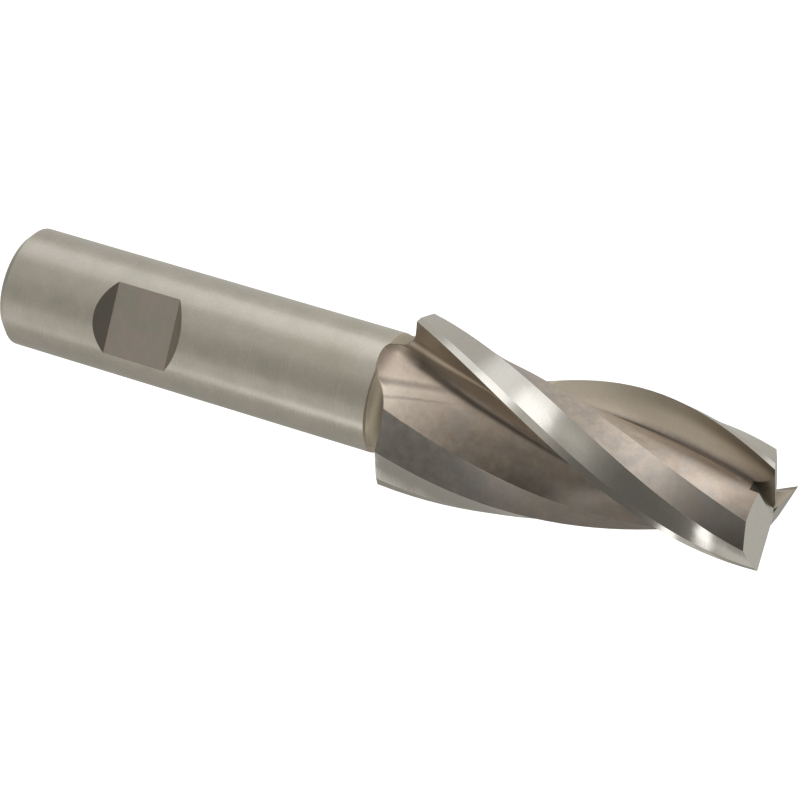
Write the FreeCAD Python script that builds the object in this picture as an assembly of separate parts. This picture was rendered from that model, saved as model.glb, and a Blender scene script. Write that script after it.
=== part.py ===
import FreeCAD, Part
import math
import os

from FreeCAD import Vector

os.makedirs("parts", exist_ok=True)

# Tapered end mill, millimetres. It stands on its shank end: z = 0 is the rear
# face, +Z runs along the axis to the cutting tip, and the flat faces -Y.

overall_length = 127.0
shank_diameter = 19.05
shank_length = 64.5
rear_chamfer = 1.2
front_chamfer = 0.35

flat_depth = 1.905
flat_start = 19.2
flat_bottom_length = 10.7
flat_wall_slope_deg = 41.0

neck_step = 0.175
neck_length = 3.8
neck_fillet_share = 0.8
tooth_rear_slope_deg = 5.0

tooth_count = 3
tip_diameter = 19.05
taper_per_side_deg = 5.0
helix_angle_deg = 25.9
tip_edge_azimuth_deg = -12.6

# The section of one tooth, going back from its cutting edge. Angles are in
# degrees behind the edge, shares are fractions of the cutting radius.
margin_deg = 6.0
margin_share = 0.986
heel_deg = 27.4
heel_share = 0.935
crest_deg = 54.0
crest_share = 0.73

# Poles of the curve from the crest, through the flute floor, up the rake face.
# The floor moves closer to the rake face over the last length before the neck.
flute_poles = [
    (67.0, 0.645),
    (82.0, 0.585),
    (96.0, 0.54),
    (107.0, 0.51),
    (112.5, 0.54),
    (117.0, 0.66),
    (120.0, 0.83),
]
rear_flute_poles = [
    (67.0, 0.645),
    (82.0, 0.59),
    (97.0, 0.56),
    (109.0, 0.545),
    (115.0, 0.565),
    (119.0, 0.68),
    (121.0, 0.83),
]
rear_flute_length = 12.0

# Behind the teeth the wheel leaves the flute in a round run-out that leans forward.
run_out_gap = 2.2
run_out_radius = 2.4
run_out_length = 4.2
run_out_lean_deg = 50.0

flute_station_spacing = 3.0
run_out_station_count = 6
flute_curve_degree = 3

end_relief_deg = 19.0
end_dish_deg = 1.5
gash_width = 1.17
gash_spread_deg = 5.0
gash_past_centre = 0.95
gash_floor_slope_deg = 30.0

# How far the cutting shapes reach, as a share of the radius that they cut.
cut_reach_share = 1.5

shank_radius = shank_diameter / 2.0
neck_radius = shank_radius - neck_step
neck_fillet = neck_length * neck_fillet_share
tooth_rear_z = shank_length + neck_length
run_out_start_z = tooth_rear_z - run_out_gap
run_out_end_z = run_out_start_z - run_out_length
tip_radius = tip_diameter / 2.0
tooth_pitch_deg = 360.0 / tooth_count
taper_slope = math.tan(math.radians(taper_per_side_deg))
helix_slope = math.tan(math.radians(helix_angle_deg))
rear_radius = tip_radius + (overall_length - tooth_rear_z) * taper_slope


def cutting_radius(z):
    return tip_radius + (overall_length - z) * taper_slope


def edge_azimuth(z):
    """Azimuth in degrees of the first cutting edge, for a constant helix angle."""
    if abs(taper_slope) < 1e-6:
        turned = helix_slope * (overall_length - z) / tip_radius
    else:
        turned = helix_slope / taper_slope * math.log(cutting_radius(z) / tip_radius)
    return tip_edge_azimuth_deg - math.degrees(turned)


def floor_lift(z):
    """Rise of the flute floor where the grinding wheel leaves the neck."""
    run = max(0.0, run_out_start_z - z)
    return run * run / (2.0 * run_out_radius)


def flute_curve_poles(z):
    """Poles of the flute at height z, between the front and the rear shape."""
    share = (tooth_rear_z + rear_flute_length - z) / rear_flute_length
    share = min(1.0, max(0.0, share))
    pairs = zip(flute_poles, rear_flute_poles)
    return [(a + (c - a) * share, b + (d - b) * share) for (a, b), (c, d) in pairs]


def polar(radius, azimuth_deg, z):
    angle = math.radians(azimuth_deg)
    return Vector(radius * math.cos(angle), radius * math.sin(angle), z)


def section_point(z, behind_deg, fraction, tooth):
    """Point of a tooth section; in the run-out it lifts by its depth and leans forward."""
    deepest = min(share for angle, share in flute_curve_poles(z))
    depth = (1.0 - fraction) / (1.0 - deepest)
    lift = floor_lift(z) * depth
    radius = cutting_radius(z) * fraction + lift
    lean = lift * math.tan(math.radians(run_out_lean_deg)) / radius
    azimuth = edge_azimuth(z) - behind_deg + math.degrees(lean)
    return polar(radius, azimuth - tooth * tooth_pitch_deg, z)


def section_wire(z):
    """Closed section of all teeth at height z."""
    edges = []
    for tooth in range(tooth_count):
        edge = section_point(z, 0.0, 1.0, tooth)
        margin = section_point(z, margin_deg, margin_share, tooth)
        heel = section_point(z, heel_deg, heel_share, tooth)
        crest = section_point(z, crest_deg, crest_share, tooth)
        next_edge = section_point(z, 0.0, 1.0, (tooth + 1) % tooth_count)
        poles = [section_point(z, a, f, tooth) for a, f in flute_curve_poles(z)]
        flute = Part.BSplineCurve()
        flute.buildFromPoles([crest] + poles + [next_edge], False, flute_curve_degree)
        edges.append(Part.makeLine(edge, margin))
        edges.append(Part.makeLine(margin, heel))
        edges.append(Part.makeLine(heel, crest))
        edges.append(flute.toShape())
    return Part.Wire(edges)


def fluted_body():
    """Solid of the helical teeth and the core, with closer sections in the run-out."""
    flute_length = overall_length - run_out_start_z
    steps = math.ceil(flute_length / flute_station_spacing)
    closer = run_out_length / run_out_station_count
    heights = [run_out_end_z + closer * k for k in range(run_out_station_count)]
    heights += [run_out_start_z + flute_length * k / steps for k in range(steps + 1)]
    return Part.makeLoft([section_wire(z) for z in heights], True, False)


def turned_blank():
    """Shank, neck and rear tooth faces as turned; the teeth lie inside its wide front part."""
    reach = cut_reach_share * rear_radius
    slope = math.radians(tooth_rear_slope_deg)
    fillet_end_radius = neck_radius + neck_fillet * (1.0 - math.sin(slope))
    fillet_end_z = tooth_rear_z - (rear_radius - fillet_end_radius) * math.tan(slope)
    fillet_start_z = fillet_end_z - neck_fillet * math.cos(slope)
    middle = math.pi - (math.pi / 2.0 - slope) / 2.0
    reach_z = tooth_rear_z + (reach - rear_radius) * math.tan(slope)
    below = [
        Vector(0.0, 0.0, 0.0),
        Vector(shank_radius - rear_chamfer, 0.0, 0.0),
        Vector(shank_radius, 0.0, rear_chamfer),
        Vector(shank_radius, 0.0, shank_length - front_chamfer),
        Vector(neck_radius, 0.0, shank_length),
        Vector(neck_radius, 0.0, fillet_start_z),
    ]
    fillet_mid = Vector(
        neck_radius + neck_fillet * (1.0 + math.cos(middle)),
        0.0,
        fillet_start_z + neck_fillet * math.sin(middle),
    )
    above = [
        Vector(fillet_end_radius, 0.0, fillet_end_z),
        Vector(reach, 0.0, reach_z),
        Vector(reach, 0.0, overall_length),
        Vector(0.0, 0.0, overall_length),
        Vector(0.0, 0.0, 0.0),
    ]
    edges = [Part.makeLine(p, q) for p, q in zip(below, below[1:])]
    edges.append(Part.Arc(below[-1], fillet_mid, above[0]).toShape())
    edges += [Part.makeLine(p, q) for p, q in zip(above, above[1:])]
    face = Part.Face(Part.Wire(edges))
    return face.revolve(Vector(0, 0, 0), Vector(0, 0, 1), 360.0)


def set_screw_flat():
    """Trapezoid cut with sloped ends, across the shank on its -Y side."""
    flat_y = -(shank_radius - flat_depth)
    past = -(shank_radius + flat_depth)
    spread = (flat_y - past) / math.tan(math.radians(flat_wall_slope_deg))
    flat_end = flat_start + flat_bottom_length
    reach = cut_reach_share * shank_radius
    outline = Part.makePolygon(
        [
            Vector(-reach, flat_y, flat_start),
            Vector(-reach, flat_y, flat_end),
            Vector(-reach, past, flat_end + spread),
            Vector(-reach, past, flat_start - spread),
            Vector(-reach, flat_y, flat_start),
        ]
    )
    return Part.Face(outline).extrude(Vector(2.0 * reach, 0.0, 0.0))


def end_relief(tooth):
    """Wedge above one end tooth, from its end edge back to the next one."""
    azimuth = tip_edge_azimuth_deg - tooth * tooth_pitch_deg
    relief = math.tan(math.radians(end_relief_deg))
    dish = math.tan(math.radians(end_dish_deg))
    reach = cut_reach_share * tip_radius
    top = overall_length + reach
    outward = polar(1.0, azimuth, 0.0)
    backward = polar(1.0, azimuth - 90.0, 0.0)
    corners = []
    for behind in (0.0, tooth_pitch_deg / 2.0, tooth_pitch_deg):
        rim = polar(reach, azimuth - behind, 0.0)
        drop = relief * rim.dot(backward) - dish * (rim.dot(outward) - tip_radius)
        corners.append((rim, overall_length - drop))
    centre_low = Vector(0.0, 0.0, overall_length - dish * tip_radius)
    centre_high = Vector(0.0, 0.0, top)
    low = [centre_low] + [Vector(p.x, p.y, z) for p, z in corners]
    high = [centre_high] + [Vector(p.x, p.y, top) for p, z in corners]
    count = len(low)
    faces = [
        Part.Face(Part.makePolygon(low + [low[0]])),
        Part.Face(Part.makePolygon(high + [high[0]])),
    ]
    for k in range(count):
        n = (k + 1) % count
        side = Part.makePolygon([low[k], low[n], high[n], high[k], low[k]])
        faces.append(Part.Face(side))
    return Part.makeSolid(Part.makeShell(faces))


def end_gash(tooth):
    """Narrow slot in front of one end edge; its floor falls and its far wall spreads outward."""
    azimuth = tip_edge_azimuth_deg - tooth * tooth_pitch_deg
    outward = polar(1.0, azimuth, 0.0)
    forward = polar(1.0, azimuth + 90.0, 0.0)
    fall = math.tan(math.radians(gash_floor_slope_deg))
    spread = math.tan(math.radians(gash_spread_deg))
    top_z = overall_length + gash_width
    start = -gash_past_centre - gash_width / fall
    reach = cut_reach_share * tip_radius
    floor_z = top_z - (reach - start) * fall
    near_in = outward * start + Vector(0.0, 0.0, top_z)
    near_low = outward * reach + Vector(0.0, 0.0, floor_z)
    near_high = outward * reach + Vector(0.0, 0.0, top_z)
    far_in = near_in + forward * (gash_width + start * spread)
    far_low = near_low + forward * (gash_width + reach * spread)
    far_high = near_high + forward * (gash_width + reach * spread)
    faces = [
        Part.Face(Part.makePolygon([near_in, near_low, near_high, near_in])),
        Part.Face(Part.makePolygon([far_in, far_low, far_high, far_in])),
        Part.Face(Part.makePolygon([near_in, near_low, far_low, far_in, near_in])),
        Part.Face(Part.makePolygon([near_in, near_high, far_high, far_in, near_in])),
        Part.Face(Part.makePolygon([near_low, near_high, far_high, far_low, near_low])),
    ]
    return Part.makeSolid(Part.makeShell(faces))


def end_mill():
    blank = turned_blank()
    wide = cut_reach_share * rear_radius
    plain = blank.common(Part.makeCylinder(wide, run_out_end_z))
    fluted = blank.common(fluted_body())
    tool = plain.fuse(fluted)
    tool = tool.cut(set_screw_flat())
    for tooth in range(tooth_count):
        tool = tool.cut(end_relief(tooth))
    for tooth in range(tooth_count):
        tool = tool.cut(end_gash(tooth))
    return tool.removeSplitter().Solids[0]


end_mill().exportStep("parts/end_mill.step")
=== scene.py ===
import bpy
import math
from types import SimpleNamespace
from mathutils import Matrix, Vector

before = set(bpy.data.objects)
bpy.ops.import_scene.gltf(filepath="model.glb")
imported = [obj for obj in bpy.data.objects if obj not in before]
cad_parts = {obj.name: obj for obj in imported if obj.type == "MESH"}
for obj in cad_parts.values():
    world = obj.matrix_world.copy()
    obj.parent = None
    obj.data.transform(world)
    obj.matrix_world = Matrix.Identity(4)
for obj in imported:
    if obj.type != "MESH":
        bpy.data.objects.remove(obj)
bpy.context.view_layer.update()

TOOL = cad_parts["end_mill"]
MM_PER_M = 1000.0

# Camera, found from the shank's edges, the flat's corners and the tooth corners: how far
# the tool's axis leans toward the lens and turns in the picture, where the middle of the
# rear face lies in the photo and how far off it is in metres, and how far the flat is
# turned about the axis from facing the lens.
PHOTO_PX = 800
FOCAL_PX = 3468.7
SENSOR_MM = 36.0
LEAN = math.radians(20.25)
ROLL = math.radians(16.69)
REAR_PX = (27.5, 284.6)
REAR_DEPTH = 0.55028
FLAT_SPIN = math.radians(8.57)
CLIP_START = 0.01
CLIP_END = 20

# The tool's shape, as in the CAD, in millimetres and degrees.
LENGTH = 127.0
SHANK_RADIUS = 9.525
SHANK_END = 64.5
NECK_RADIUS = 9.35
FILLET = 3.04
FILLET_START = 65.05
REAR_CONE_RADIUS = 12.125
REAR_CONE_SLOPE = math.tan(math.radians(5.0))
TIP_RADIUS = 9.525
TAPER = math.tan(math.radians(5.0))
TWIST = math.tan(math.radians(25.9)) / TAPER
TIP_EDGE = -12.6
TOOTH_PITCH = 120.0


def camera_pose():
    """Camera's matrix in the tool's frame.

    The tool's axes are found as the camera sees them: x right, y down and z forward.
    """
    axis = Vector((math.cos(LEAN) * math.cos(ROLL), math.cos(LEAN) * math.sin(ROLL), -math.sin(LEAN)))
    toward_lens = Vector((0, 0, -1))
    facing = (toward_lens - axis * toward_lens.dot(axis)).normalized()
    flat_normal = facing * math.cos(FLAT_SPIN) + axis.cross(facing) * math.sin(FLAT_SPIN)
    tool_y = -flat_normal
    tool_axes = Matrix((tool_y.cross(axis), tool_y, axis))
    middle = PHOTO_PX / 2
    sight = Vector(((REAR_PX[0] - middle) / FOCAL_PX, (REAR_PX[1] - middle) / FOCAL_PX, 1))
    y_up_z_back = Matrix(((1, 0, 0), (0, -1, 0), (0, 0, -1)))
    place = tool_axes @ (-sight * REAR_DEPTH)
    return Matrix.Translation(place) @ (tool_axes @ y_up_z_back).to_4x4()


class Maths:
    """Adds nodes to a tree and returns their sockets.

    A value is a number, a colour of three numbers or a socket. A band is a pair of
    numbers: the mask made from it is 0 at the first and 1 at the second.
    """

    def __init__(self, tree):
        self.new = tree.nodes.new
        self.link = tree.links.new

    def put(self, value, socket):
        if isinstance(value, tuple):
            socket.default_value = (*value, 1.0)
        elif isinstance(value, (int, float)):
            socket.default_value = value
        else:
            self.link(value, socket)

    def fill(self, node, values):
        """Puts values into the inputs with these names or numbers."""
        for key, value in values.items():
            self.put(value, node.inputs[key])

    def op(self, kind, *values):
        node = self.new("ShaderNodeMath")
        node.operation = kind
        self.fill(node, dict(enumerate(values)))
        return node.outputs[0]

    def add(self, a, b):
        return self.op("ADD", a, b)

    def sub(self, a, b):
        return self.op("SUBTRACT", a, b)

    def mul(self, a, b):
        return self.op("MULTIPLY", a, b)

    def div(self, a, b):
        return self.op("DIVIDE", a, b)

    def least(self, a, b):
        return self.op("MINIMUM", a, b)

    def most(self, a, b):
        return self.op("MAXIMUM", a, b)

    def fourth(self, a):
        """Fourth power."""
        square = self.mul(a, a)
        return self.mul(square, square)

    def no(self, mask):
        """1 where the mask is 0."""
        return self.sub(1.0, mask)

    def vary(self, noise, least, span):
        """least where the noise is 0, and span more where it is 1."""
        return self.add(least, self.mul(noise, span))

    def map(self, kind, value, low, high, out_low, out_high):
        node = self.new("ShaderNodeMapRange")
        node.interpolation_type = kind
        self.fill(node, {
            "Value": value, "From Min": low, "From Max": high, "To Min": out_low, "To Max": out_high,
        })
        return node.outputs[0]

    def ramp(self, value, band, ends=(0.0, 1.0)):
        """Straight change between two ends over the band, flat beyond it."""
        return self.map("LINEAR", value, *band, *ends)

    def step(self, value, band):
        """Mask that changes smoothly over the band and is flat beyond it."""
        none, full = band
        ends = (0.0, 1.0) if none < full else (1.0, 0.0)
        return self.map("SMOOTHSTEP", value, min(band), max(band), *ends)

    def within(self, value, rise, fall):
        """Mask of what lies past the first band and before the second."""
        return self.mul(self.step(value, rise), self.step(value, fall))

    def hump(self, value, centre, half):
        """1 at the centre, 0 from a half width away."""
        return self.step(self.op("ABSOLUTE", self.sub(value, centre)), (half, 0.0))

    def split(self, vector):
        node = self.new("ShaderNodeSeparateXYZ")
        self.link(vector, node.inputs[0])
        return tuple(node.outputs)

    def join(self, *values):
        node = self.new("ShaderNodeCombineXYZ")
        self.fill(node, dict(enumerate(values)))
        return node.outputs[0]

    def stretch(self, values, factors):
        """Vector of the values, each times its factor."""
        return self.join(*(self.mul(value, factor) for value, factor in zip(values, factors)))

    def noise(self, vector, scale, detail, roughness):
        node = self.new("ShaderNodeTexNoise")
        self.fill(node, {"Vector": vector, "Scale": scale, "Detail": detail, "Roughness": roughness})
        return node.outputs[0]

    def blend(self, factor, a, b):
        """Mix of two numbers."""
        node = self.new("ShaderNodeMix")
        self.fill(node, {0: factor, 2: a, 3: b})
        return node.outputs[0]

    def mix(self, factor, a, b, kind="MIX"):
        """Mix of two colours."""
        node = self.new("ShaderNodeMix")
        node.data_type = "RGBA"
        node.blend_type = kind
        self.fill(node, {0: factor, 6: a, 7: b})
        return node.outputs[2]

    def tint(self, colour, amount):
        """Colour times a number."""
        return self.mix(1.0, colour, self.join(amount, amount, amount), "MULTIPLY")

    def bump(self, height, distance, strength):
        node = self.new("ShaderNodeBump")
        self.fill(node, {"Height": height, "Distance": distance, "Strength": strength})
        return node.outputs[0]


def new_material(name, plain):
    """A new material and its shader, with these plain values on the shader's sockets."""
    material = bpy.data.materials.new(name)
    material.use_nodes = True
    shader = material.node_tree.nodes["Principled BSDF"]
    for socket, value in plain.items():
        shader.inputs[socket].default_value = value
    return material, shader


def make_camera():
    data = bpy.data.cameras.new("camera")
    data.sensor_width = SENSOR_MM
    data.lens = FOCAL_PX / PHOTO_PX * SENSOR_MM
    data.clip_start = CLIP_START
    data.clip_end = CLIP_END
    camera = bpy.data.objects.new("camera", data)
    bpy.context.scene.collection.objects.link(camera)
    camera.matrix_world = camera_pose()
    bpy.context.scene.camera = camera


FLOOR_SIZE = 8
FLOOR_LOOK = {
    "Base Color": (0.8, 0.8, 0.8, 1),
    "Roughness": 1.0,
    "Specular IOR Level": 0.0,
    "Emission Color": (1, 1, 1, 1),
    "Emission Strength": 1.0,
}


def make_floor():
    """White floor that glows as the photo's background does, and that the steel doesn't mirror."""
    bpy.ops.mesh.primitive_plane_add(size=FLOOR_SIZE, location=(0, 0, 0))
    floor = bpy.context.object
    floor.name = "floor"
    material, _ = new_material("floor", FLOOR_LOOK)
    floor.data.materials.append(material)
    floor.visible_glossy = False
    floor.visible_shadow = False
    floor.visible_diffuse = False


# How far inside the true curve a flat facet of the mesh may lie.
MESH_SLACK = 0.05


def find_place(m):
    """Where the shaded point lies on the tool, as sockets.

    x, y, z and radius are in millimetres, and azimuth and behind, which is how far it lies
    behind a cutting edge, in degrees. share is the radius over the cutting radius, and
    outward and upward are parts of the normal. above is the height over what was turned.
    """
    coord = m.new("ShaderNodeTexCoord")
    x, y, z = (m.mul(v, MM_PER_M) for v in m.split(coord.outputs["Object"]))
    normal_x, normal_y, normal_z = m.split(coord.outputs["Normal"])
    radius = m.op("SQRT", m.add(m.mul(x, x), m.mul(y, y)))
    azimuth = m.mul(m.op("ARCTAN2", y, x), math.degrees(1.0))
    outward = m.div(m.add(m.mul(normal_x, x), m.mul(normal_y, y)), radius)

    # The helix angle is constant, so the edge turns with the logarithm of the cutting radius.
    cutting = m.add(m.mul(m.sub(LENGTH, z), TAPER), TIP_RADIUS)
    growth = m.op("LOGARITHM", m.div(cutting, TIP_RADIUS), math.e)
    edge = m.sub(TIP_EDGE, m.mul(growth, math.degrees(TWIST)))
    behind = m.op("FLOORED_MODULO", m.sub(edge, azimuth), TOOTH_PITCH)

    # The turned fillet rises from the neck to the cone on the teeth's rear.
    inside = m.sub(NECK_RADIUS + FILLET, m.least(m.add(radius, MESH_SLACK), REAR_CONE_RADIUS))
    rise = m.op("SQRT", m.most(m.sub(FILLET * FILLET, m.mul(inside, inside)), 0.0))
    cone = m.mul(m.most(m.sub(radius, REAR_CONE_RADIUS), 0.0), REAR_CONE_SLOPE)
    above = m.sub(z, m.add(m.add(rise, cone), FILLET_START))
    return SimpleNamespace(
        x=x, y=y, z=z, radius=radius, azimuth=azimuth, outward=outward, upward=normal_z,
        share=m.div(radius, cutting), behind=behind, above=above,
    )


# Bands at the borders of the ground and turned faces. Heights are in millimetres from the
# shank's rear, radii in millimetres, and places round a tooth in degrees behind its edge.
BEVEL_HEIGHT = (1.25, 1.15)
BEVEL_OUTWARD = (0.3, 0.4)
FLAT_FROM = (16.6, 16.8)
FLAT_TO = (32.5, 32.3)
FLAT_RADIUS = (9.52, 9.50)
FLAT_BOTTOM_FROM = (19.1, 19.3)
FLAT_BOTTOM_TO = (30.0, 29.8)
CORNER_FROM = (64.12, 64.2)
CORNER_TO = (64.6, 64.5)
CORNER_RADIUS = (9.3, 9.34)
NECK_FROM = (SHANK_END, SHANK_END + 0.1)
PAST_SHANK = (SHANK_END - 0.35, SHANK_END - 0.05)
SHANK_SKIN = SHANK_RADIUS - 0.03
NECK_SKIN = NECK_RADIUS - 0.07
NECK_OUTSIDE = (NECK_RADIUS - 0.09, NECK_SKIN)
UNDER_SKIN = (0.01, -0.01)
RUN_OUT_FROM = (60.0, 60.2)
WAY_OUT_HEIGHT = (68.0, 65.5)
OVER_TURNED = (0.03, 0.06)
ALL_TEETH_FROM = (72.0, 72.3)
LAND_TO = (27.9, 27.1)
LAND_AHEAD = (116.0, 117.0)
LAND_OUTWARD = (0.62, 0.72)
FACET_FROM = (27.1, 27.9)
FACET_TO = (54.3, 53.4)
RAKE_FROM = (112.0, 116.0)
RAKE_TO = (8.0, 6.0)
END_HEIGHT = (119.0, 120.0)
END_UPWARD = (0.80, 0.86)


def find_faces(m, at):
    """Masks of the faces that the tool was turned and ground to."""
    outside_neck = m.step(at.radius, NECK_OUTSIDE)
    teeth = m.most(m.mul(m.step(at.above, OVER_TURNED), outside_neck), m.step(at.z, ALL_TEETH_FROM))
    near_edge = m.most(m.step(at.behind, LAND_TO), m.step(at.behind, LAND_AHEAD))
    land = m.mul(m.mul(teeth, near_edge), m.step(at.outward, LAND_OUTWARD))
    facet = m.mul(m.mul(teeth, m.step(at.behind, FACET_FROM)), m.step(at.behind, FACET_TO))
    rake = m.most(m.step(at.behind, RAKE_FROM), m.mul(m.step(at.behind, RAKE_TO), m.no(land)))

    # The flutes run out through the neck and into the shank, where the skin is cut away.
    skin_radius = m.blend(m.step(at.z, PAST_SHANK), SHANK_SKIN, NECK_SKIN)
    run_out = m.mul(m.step(m.sub(at.radius, skin_radius), UNDER_SKIN), m.step(at.z, RUN_OUT_FROM))
    cut = m.most(teeth, run_out)
    round_part = m.no(cut)
    turned = m.mul(m.mul(round_part, m.step(at.z, NECK_FROM)), outside_neck)
    flat = m.mul(m.within(at.z, FLAT_FROM, FLAT_TO), m.step(at.radius, FLAT_RADIUS))
    return SimpleNamespace(
        land=land, facet=facet, rake=rake, turned=turned, flat=flat,
        flute=m.mul(cut, m.no(m.most(land, facet))),
        way_out=m.mul(run_out, m.step(at.z, WAY_OUT_HEIGHT)),
        ends=m.mul(m.step(at.z, END_HEIGHT), m.step(at.upward, END_UPWARD)),
        corner=m.mul(m.within(at.z, CORNER_FROM, CORNER_TO), m.step(at.radius, CORNER_RADIUS)),
        bevel=m.mul(m.step(at.z, BEVEL_HEIGHT), m.step(at.outward, BEVEL_OUTWARD)),
        flat_bottom=m.mul(flat, m.within(at.z, FLAT_BOTTOM_FROM, FLAT_BOTTOM_TO)),
        shank=m.mul(round_part, m.no(m.most(flat, turned))),
    )


# Noises: how far space is stretched for each, and its scale, detail and roughness.
RING_STRETCH = (0.03, 0.03, 3.4)
EVEN_STRETCH = (0.22, 0.22, 0.22)
DRAG_STRETCH = (0.55, 6.0, 0.12)
STAIN_SHIFT = 40.0
RING = (1.0, 4.0, 0.7)
BLOTCH = (1.0, 4.0, 0.6)
SPECK = (9.0, 3.0, 0.6)
MOTTLE = (3.2, 4.0, 0.65)
DRAG = (1.0, 4.0, 0.6)
STAIN = (0.33, 3.0, 0.6)


def find_grain(m, at):
    """Noises: rings round the shank, blotches, specks and stains, and drag along the flutes."""
    even = m.stretch((at.x, at.y, at.z), EVEN_STRETCH)
    return SimpleNamespace(
        ring=m.noise(m.stretch((at.x, at.y, at.z), RING_STRETCH), *RING),
        blotch=m.noise(even, *BLOTCH),
        speck=m.noise(even, *SPECK),
        mottle=m.noise(even, *MOTTLE),
        drag=m.noise(m.stretch((at.behind, at.share, at.z), DRAG_STRETCH), *DRAG),
        stain=m.noise(m.join(m.add(at.x, STAIN_SHIFT), at.y, at.z), *STAIN),
    )


# Heat stains on the teeth: which part of their noise shows, and how strongly.
BLUED_NOISE = (0.46, 0.62)
BLUED_COVER = (0.0, 0.45)
BLUED_HEIGHT = (72.0, 80.0)
TAN_BLUED = (0.50, 0.475, 0.465)
FACET_BLUED = (0.44, 0.425, 0.42)

# Painted shade on the side of the teeth that faces down as the camera sees them: by azimuth in
# degrees.
UNDER_FROM = (-75.0, -35.0)
UNDER_TO = (100.0, 60.0)
UNDER_HEIGHT = (78.0, 90.0)
FACET_UNDER_SHADE = (0.15, 0.132, 0.115)
FACET_UNDER_COVER = 0.62
FLUTE_UNDER_SHADE = (0.09, 0.078, 0.064)
FLUTE_UNDER_COVER = 0.68

# The facets: dark and light blotches at the rear and further on, and the tip.
FACET_BLOTCHES = (0.35, 0.65)
FACET_WARM_HEIGHT = (78.0, 96.0)
FACET_REAR = ((0.44, 0.42, 0.39), (0.54, 0.51, 0.47))
FACET_WARM = ((0.53, 0.465, 0.41), (0.68, 0.59, 0.52))
FACET_TIP_HEIGHT = (107.0, 120.0)
FACET_TIP = (0.42, 0.39, 0.355)


def facet_colour(m, at, grain, blued, under_shade):
    """The second back facet of the teeth: oxidised steel with heat stains, and painted shade on the
    side that faces down.
    """
    warm = m.step(at.z, FACET_WARM_HEIGHT)
    dark, light = (m.mix(warm, rear, ahead) for rear, ahead in zip(FACET_REAR, FACET_WARM))
    colour = m.mix(m.ramp(grain.mottle, FACET_BLOTCHES), dark, light)
    colour = m.mix(m.step(at.z, FACET_TIP_HEIGHT), colour, FACET_TIP)
    colour = m.mix(blued, colour, FACET_BLUED)
    # Painted shade on the side of the teeth that faces down.
    return m.mix(m.mul(under_shade, FACET_UNDER_COVER), colour, FACET_UNDER_SHADE)


# The back of the flutes: dark and light blotches, paler at the rear.
TAN_BLOTCHES = (0.32, 0.68)
TAN = ((0.56, 0.46, 0.385), (0.70, 0.60, 0.515))
REAR_TAN_BLOTCHES = (0.35, 0.65)
REAR_TAN_HEIGHT = (80.0, 70.0)
REAR_TAN_BEHIND = (100.0, 70.0)
REAR_TAN = ((0.68, 0.60, 0.52), (0.80, 0.70, 0.61))


def tan_colour(m, at, grain, blued):
    """The back of the flutes, browned by heat."""
    colour = m.mix(m.ramp(grain.mottle, TAN_BLOTCHES), *TAN)
    rear = m.mul(m.step(at.z, REAR_TAN_HEIGHT), m.step(at.behind, REAR_TAN_BEHIND))
    colour = m.mix(rear, colour, m.mix(m.ramp(grain.mottle, REAR_TAN_BLOTCHES), *REAR_TAN))
    return m.mix(blued, colour, TAN_BLUED)


# The rake face: its rim at the cutting edge has painted shade, lighter over the middle heights, and
# its inner part is painted lighter, with painted shadow at the rear.
RIM_MIDDLE_FROM = (80.0, 87.0)
RIM_MIDDLE_TO = (108.0, 92.0)
RIM_TIP_HEIGHT = (108.0, 120.0)
RIM = (0.40, 0.355, 0.29)
RIM_TIP = (0.30, 0.265, 0.21)
RIM_MIDDLE = (0.66, 0.595, 0.50)
INNER_REAR_HEIGHT = (90.0, 78.0)
INNER = (0.60, 0.525, 0.43)
INNER_REAR = (0.38, 0.325, 0.265)
INNER_SHARE = (0.92, 0.74)

# A painted highlight climbs across the rake face from the neck as a light ridge: its share of the
# radius at the start, how it rises over its length, its half width, and where it begins and fades.
RIDGE_HIGHLIGHT = (0.95, 0.86, 0.73)
RIDGE_COVER = 0.95
RIDGE_START = 68.0
RIDGE_LENGTH = 17.0
RIDGE_POWER = 2.3
RIDGE_RISE = 0.25
RIDGE_SHARE = 0.70
RIDGE_HALF = 0.055
RIDGE_FROM = (65.0, 67.5)
RIDGE_TO = (89.0, 84.0)


def rake_colour(m, at):
    """The rake face, from the rim at the cutting edge in to the flute's bottom, with painted shade at
    the rim, painted light further in and a painted highlight on the ridge.
    """
    rim_middle = m.within(at.z, RIM_MIDDLE_FROM, RIM_MIDDLE_TO)
    # Painted shade at the rim, lighter over the middle heights and darker at the tip.
    rim = m.mix(rim_middle, m.mix(m.step(at.z, RIM_TIP_HEIGHT), RIM, RIM_TIP), RIM_MIDDLE)
    # Painted light on the inner part, with painted shadow at the rear.
    inner = m.mix(m.step(at.z, INNER_REAR_HEIGHT), INNER, INNER_REAR)
    colour = m.mix(m.step(at.share, INNER_SHARE), rim, inner)

    along = m.most(m.mul(m.sub(at.z, RIDGE_START), 1.0 / RIDGE_LENGTH), 0.0)
    middle = m.add(m.mul(m.op("POWER", along, RIDGE_POWER), RIDGE_RISE), RIDGE_SHARE)
    ridge_highlight = m.mul(m.hump(at.share, middle, RIDGE_HALF), m.within(at.z, RIDGE_FROM, RIDGE_TO))
    # Painted highlight along the ridge.
    return m.mix(m.mul(ridge_highlight, RIDGE_COVER), colour, RIDGE_HIGHLIGHT)


# Pale steel where the wheel ran out.
WAY_OUT = (0.95, 0.83, 0.72)
WAY_OUT_COVER = 0.85

# Painted shade in the deep part of a flute, more so at its ends.
DEEP_SHADE = (0.30, 0.25, 0.205)
DEEP_COVER = 0.75
DEEP_FROM = (62.0, 92.0)
DEEP_TO = (112.0, 104.0)
DEEP_HEIGHT = (76.0, 84.0)
DEEP_AMOUNT = (0.35, 0.55)
DEEP_TIP_HEIGHT = (111.0, 118.0)
DEEP_TIP_AMOUNT = 0.45

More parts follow.
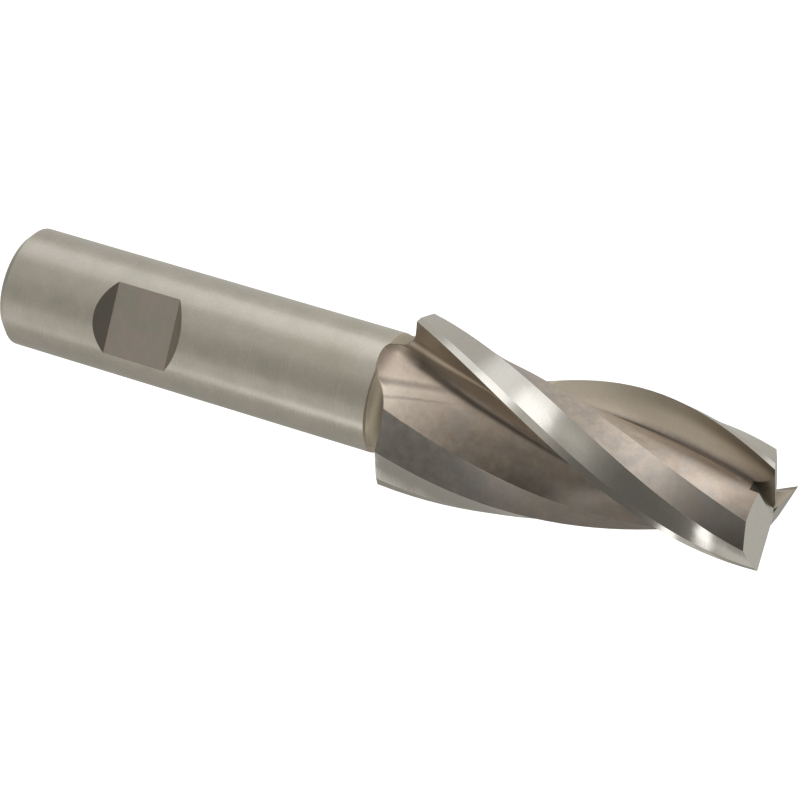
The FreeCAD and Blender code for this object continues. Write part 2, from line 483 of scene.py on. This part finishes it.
# Painted shade in the groove at a flute's bottom: its middle and half width in degrees, which change
# with the height, and how dark it gets from the neck up.
GROOVE_SHADE = (0.05, 0.04, 0.03)
GROOVE_HEIGHT = (69.0, 80.0)
GROOVE_MIDDLE = (113.0, 108.5)
GROOVE_HALF = (10.0, 7.5)
GROOVE_TIP_HEIGHT = (117.0, 126.0)
GROOVE_TIP_WIDER = (0.0, 4.5)
GROOVE_EDGE = (1.0, 0.15)
GROOVE_COVER_HEIGHT = (65.5, 70.0)
GROOVE_COVER = (0.1, 0.82)


def flute_colour(m, at, faces, grain, blued, under_shade):
    """Both sides of a flute, with painted shade in its deep part and groove and on the side that
    faces down.
    """
    colour = m.mix(faces.rake, tan_colour(m, at, grain, blued), rake_colour(m, at))
    colour = m.mix(m.mul(faces.way_out, WAY_OUT_COVER), colour, WAY_OUT)

    tip = m.mul(m.step(at.z, DEEP_TIP_HEIGHT), DEEP_TIP_AMOUNT)
    amount = m.add(m.ramp(at.z, DEEP_HEIGHT, DEEP_AMOUNT), tip)
    deep_shade = m.mul(m.within(at.behind, DEEP_FROM, DEEP_TO), amount)
    # Painted shade in the deep part of the flute.
    colour = m.mix(m.mul(deep_shade, DEEP_COVER), colour, DEEP_SHADE)

    off = m.op("ABSOLUTE", m.sub(at.behind, m.ramp(at.z, GROOVE_HEIGHT, GROOVE_MIDDLE)))
    wider = m.ramp(at.z, GROOVE_TIP_HEIGHT, GROOVE_TIP_WIDER)
    groove_shade = m.step(m.div(off, m.add(m.ramp(at.z, GROOVE_HEIGHT, GROOVE_HALF), wider)), GROOVE_EDGE)
    cover = m.ramp(at.z, GROOVE_COVER_HEIGHT, GROOVE_COVER)
    # Painted shade in the groove at the flute's bottom.
    colour = m.mix(m.mul(groove_shade, cover), colour, GROOVE_SHADE)
    # Painted shade on the side of the teeth that faces down.
    return m.mix(m.mul(under_shade, FLUTE_UNDER_COVER), colour, FLUTE_UNDER_SHADE)


# The other faces. Where there are two colours, a noise or the radius mixes them.
SHANK = ((0.552, 0.531, 0.455), (0.619, 0.574, 0.517))
SHANK_BLOTCHES = (0.38, 0.62)
TURNED = ((0.44, 0.40, 0.34), (0.46, 0.40, 0.31))
TURNED_RADIUS = (10.4, 9.6)
FLAT = ((0.50, 0.485, 0.42), (0.56, 0.49, 0.445))
FLAT_STAINS = (0.40, 0.60)
CORNER = (0.60, 0.53, 0.43)
LAND = (0.60, 0.58, 0.54)
ENDS = (0.60, 0.585, 0.545)
BEVEL = (0.80, 0.765, 0.67)

# Shading over all the faces: rings, specks, and painted light that makes the shank lighter toward the
# teeth.
RING_SHADE = (0.94, 0.12)
SPECK_SHADE = (0.93, 0.14)
SHANK_PAINTED_LIGHT_HEIGHT = (10.0, 62.0)
SHANK_PAINTED_LIGHT = (0.945, 1.085)

# Two dark marks that the wheel left across the flute near the neck, a wide and a fine one:
# their middle and half width in degrees behind the edge at the start, and their slope in
# degrees for each millimetre of height.
MARK_START = 67.0
MARK_SLOPE = 3.2
MARK_WOBBLE = 3.0
WIDE_MARK = (79.0, 7.0)
FINE_MARK = (63.5, 2.6)
FINE_MARK_AMOUNT = 0.7
MARK_HEIGHT = (79.0, 71.0)
MARK_SHADE = 0.42


def steel_colour(m, at, faces, grain):
    blued = m.mul(m.ramp(grain.stain, BLUED_NOISE, BLUED_COVER), m.step(at.z, BLUED_HEIGHT))
    # Mask of the painted shade on the side of the teeth that faces down.
    under_shade = m.mul(m.within(at.azimuth, UNDER_FROM, UNDER_TO), m.step(at.z, UNDER_HEIGHT))
    colour = m.mix(m.ramp(grain.blotch, SHANK_BLOTCHES), *SHANK)
    layers = (
        (faces.flute, flute_colour(m, at, faces, grain, blued, under_shade)),
        (faces.turned, m.mix(m.step(at.radius, TURNED_RADIUS), *TURNED)),
        (faces.corner, CORNER),
        (faces.land, LAND),
        (faces.facet, facet_colour(m, at, grain, blued, under_shade)),
        (faces.ends, ENDS),
        (faces.bevel, BEVEL),
        (faces.flat, m.mix(m.ramp(grain.stain, FLAT_STAINS), *FLAT)),
    )
    for mask, layer in layers:
        colour = m.mix(mask, colour, layer)

    swept = m.sub(at.behind, m.mul(m.sub(at.z, MARK_START), MARK_SLOPE))
    swept = m.add(swept, m.mul(grain.mottle, MARK_WOBBLE))
    marks = m.add(m.hump(swept, *WIDE_MARK), m.mul(m.hump(swept, *FINE_MARK), FINE_MARK_AMOUNT))
    marked = m.mul(faces.flute, m.step(at.z, MARK_HEIGHT))

    # The ramp along the height is painted light, lighter toward the teeth.
    shade = m.mul(m.vary(grain.ring, *RING_SHADE), m.ramp(at.z, SHANK_PAINTED_LIGHT_HEIGHT, SHANK_PAINTED_LIGHT))
    shade = m.mul(shade, m.vary(grain.speck, *SPECK_SHADE))
    shade = m.mul(shade, m.no(m.mul(marked, m.mul(marks, MARK_SHADE))))
    return m.tint(colour, shade)


# Roughness: a number, or its least and what a noise adds to it.
SHANK_ROUGH = (0.20, 0.12)
FLUTE_ROUGH = (0.30, 0.14)
LAND_ROUGH = (0.09, 0.07)
FACET_ROUGH = (0.36, 0.14)
WAY_OUT_ROUGH = 0.60
ENDS_ROUGH = 0.34
TURNED_ROUGH = 0.40
CORNER_ROUGH = 0.65
FLAT_ROUGH = 0.42


def steel_roughness(m, faces, grain):
    rough = m.vary(grain.ring, *SHANK_ROUGH)
    layers = (
        (faces.flute, m.vary(grain.mottle, *FLUTE_ROUGH)),
        (faces.way_out, WAY_OUT_ROUGH),
        (faces.land, m.vary(grain.blotch, *LAND_ROUGH)),
        (faces.facet, m.vary(grain.mottle, *FACET_ROUGH)),
        (faces.ends, ENDS_ROUGH),
        (faces.turned, TURNED_ROUGH),
        (faces.corner, CORNER_ROUGH),
        (faces.flat_bottom, FLAT_ROUGH),
    )
    for mask, layer in layers:
        rough = m.blend(mask, rough, layer)
    return rough


# Relief of the rings and of the flutes' coarser skin, whose height is in metres.
RING_RELIEF = 0.5
DRAG_RELIEF = 0.5
RELIEF_HEIGHT = 0.00002
RELIEF_STRENGTH = 0.6


def steel_normal(m, faces, grain):
    coarse = m.add(grain.mottle, m.mul(grain.drag, DRAG_RELIEF))
    skin = m.blend(faces.flute, m.mul(grain.ring, RING_RELIEF), coarse)
    return m.bump(skin, RELIEF_HEIGHT, RELIEF_STRENGTH)


# A thin film of oil on the shank sharpens the edges of what it mirrors.
OIL = 0.5
STEEL_LOOK = {"Metallic": 1.0, "Coat Roughness": 0.09}


def make_steel():
    """Tool steel: ground shank, bright lands, dark facets and oxidised flutes."""
    material, shader = new_material("tool_steel", STEEL_LOOK)
    m = Maths(material.node_tree)
    at = find_place(m)
    faces = find_faces(m, at)
    grain = find_grain(m, at)
    m.fill(shader, {
        "Base Color": steel_colour(m, at, faces, grain),
        "Roughness": steel_roughness(m, faces, grain),
        "Coat Weight": m.mul(faces.shank, OIL),
        "Normal": steel_normal(m, faces, grain),
    })
    TOOL.material_slots[0].material = material


# Soft boxes far round the tool: azimuth and height of the middle and half widths, in
# degrees, and brightness.
BOXES = {
    "key": (-158, 3, 15, 15, 1.12),
    "key_low": (-174, -26, 24, 14, 0.24),
    "key_spill": (-148, -10, 44, 30, 0.30),
    "strip": (-20, -8, 6.5, 12.5, 1.36),
    "strip_tail": (9, -1, 30, 5.0, 0.34),
    "strip_low": (-34, -28, 24, 13, 0.24),
    "key_edge": (-128, -1, 14, 6, 0.13),
    "rear_fill": (-80, -50, 120, 29, 0.28),
    "rear_low": (-74, -38, 44, 24, 0.15),
    "far_fill": (128, 0, 60, 42, 0.42),
    "far_key": (174, 0, 12, 16, 0.40),
    "under_far": (105, -48, 75, 20, 0.16),
    "low_fill": (19, -8, 50, 36, 0.185),
    "top": (85, 55, 60, 20, 0.50),
}

# The room between them is dim, and the dim parts are warmer than the bright ones.
ROOM = 0.15
WHITE_LIGHT = (0.35, 1.1)
WARM = (1.0, 0.97, 0.89)
WHITE = (1.0, 1.0, 0.99)


def make_light():
    world = bpy.data.worlds.new("world")
    bpy.context.scene.world = world
    world.use_nodes = True
    m = Maths(world.node_tree)
    x, y, z = m.split(m.new("ShaderNodeTexCoord").outputs["Generated"])
    azimuth = m.op("ARCTAN2", y, x)
    height = m.op("ARCSINE", z)
    total = ROOM
    for *angles, power in BOXES.values():
        to_side, up, half_width, half_height = (math.radians(angle) for angle in angles)
        turn = m.op("WRAP", m.sub(azimuth, to_side), math.pi, -math.pi)
        across = m.div(turn, half_width)
        over = m.div(m.sub(height, up), half_height)
        spread = m.add(m.fourth(across), m.fourth(over))
        total = m.add(total, m.mul(m.op("EXPONENT", m.mul(spread, -1.0)), power))
    background = world.node_tree.nodes["Background"]
    m.fill(background, {"Strength": total, "Color": m.mix(m.step(total, WHITE_LIGHT), WARM, WHITE)})
    bpy.context.scene.view_settings.view_transform = "Standard"


make_camera()
make_floor()
make_steel()
make_light()
